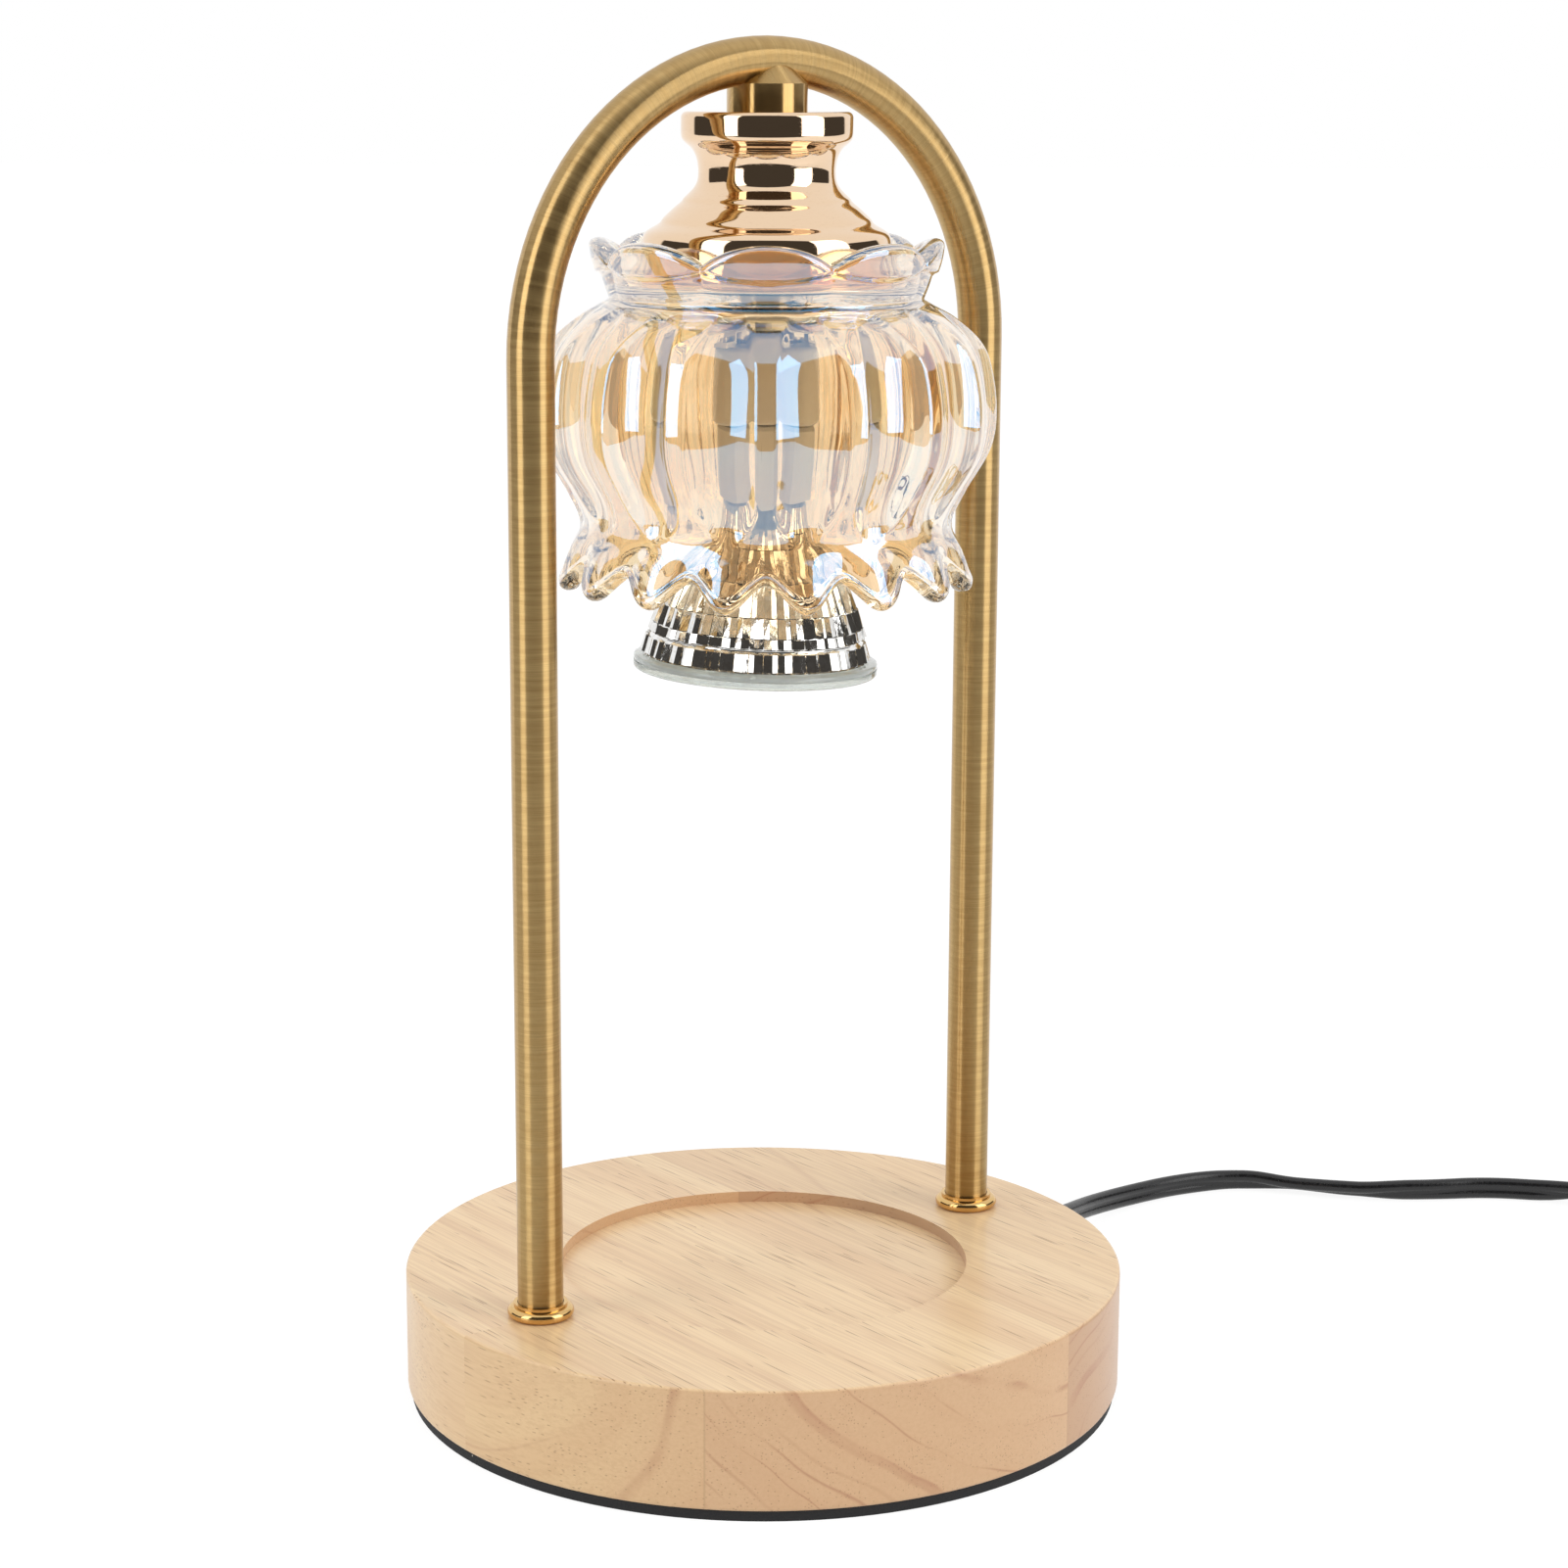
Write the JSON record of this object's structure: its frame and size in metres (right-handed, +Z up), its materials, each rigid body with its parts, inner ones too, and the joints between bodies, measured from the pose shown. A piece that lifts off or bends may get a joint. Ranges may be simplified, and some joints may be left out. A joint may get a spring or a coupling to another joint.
{
  "type": "candle warmer lamp",
  "caption": "Table lamp that melts a jar candle from above: wooden base with a recess, bent tube arch, fluted glass shade over a reflector lamp, corded wheel dimmer.",
  "frame": {"origin": "centre of the base on the table that it stands on", "axes": "+X from the left leg of the arch to the right leg, +Y to the back, +Z up"},
  "size_m": [0.3585, 0.2475, 0.2785],
  "materials": {
    "wood": "light oiled hardwood",
    "pad": "black foam rubber",
    "brass": "brushed",
    "rose_gold": "polished",
    "steel": "plated",
    "amber_glass": "polished",
    "gasket_rubber": "matte",
    "ceramic": "glazed",
    "lamp_reflector": "mirror",
    "lamp_glass": "faceted",
    "lamp_capsule": "clear",
    "contact_brass": "bare",
    "wire": "insulated",
    "terminal": "moulded",
    "cord_black": "satin",
    "dimmer_plastic": "satin",
    "board": "laminate",
    "plated_blade": "plated"
  },
  "bodies": {
    "root": {"wood_base": "wood", "base_pad": "pad", "arch_tube": "brass", "left_foot_collar": "brass", "right_foot_collar": "brass", "leg_nipples": "steel", "leg_washers": "steel", "leg_nuts": "steel", "top_coupler": "brass", "hanger_nipple": "steel", "hanger_nuts": "steel", "bell_cap": "rose_gold", "glass_shade": "amber_glass", "shade_gasket": "gasket_rubber", "shade_washer": "steel", "holder_bracket": "steel", "holder_screws": "steel", "lampholder": "ceramic", "holder_contacts": "contact_brass", "supply_wires": "wire", "terminal_block": "terminal", "terminal_screws": "steel", "cord_gland": "cord_black", "cord_pigtail": "cord_black", "lamp_cord": "cord_black", "dimmer_relief_in": "cord_black", "dimmer_relief_out": "cord_black", "dimmer_lower_shell": "dimmer_plastic", "dimmer_upper_shell": "dimmer_plastic", "dimmer_control": "board", "dimmer_board": "board", "dimmer_screws": "steel", "loop_cord": "cord_black", "cord_coil": "cord_black", "cord_tie": "dimmer_plastic", "tail_cord": "cord_black", "plug_body": "cord_black", "plug_blades": "plated_blade"},
    "bulb": {"bulb_base": "ceramic", "bulb_pins": "contact_brass", "bulb_reflector": "lamp_reflector", "bulb_lens": "lamp_glass", "bulb_capsule": "lamp_capsule"},
    "dimmer_wheel": {"dimmer_wheel": "dimmer_plastic", "dimmer_shaft": "contact_brass"}
  },
  "joints": [
    {"name": "bulb_twist", "type": "hinge", "parent": "root", "child": "bulb", "pos_m": [0, 0, 0.20245], "axis": [-0.0328, 0.0261, -0.9991], "range_deg": [0, 20]},
    {"name": "dimmer_wheel_turn", "type": "hinge", "parent": "root", "child": "dimmer_wheel", "pos_m": [0.25866, -0.08025, 0.0084], "axis": [0, 0, 1], "range_deg": [0, 270]}
  ]
}
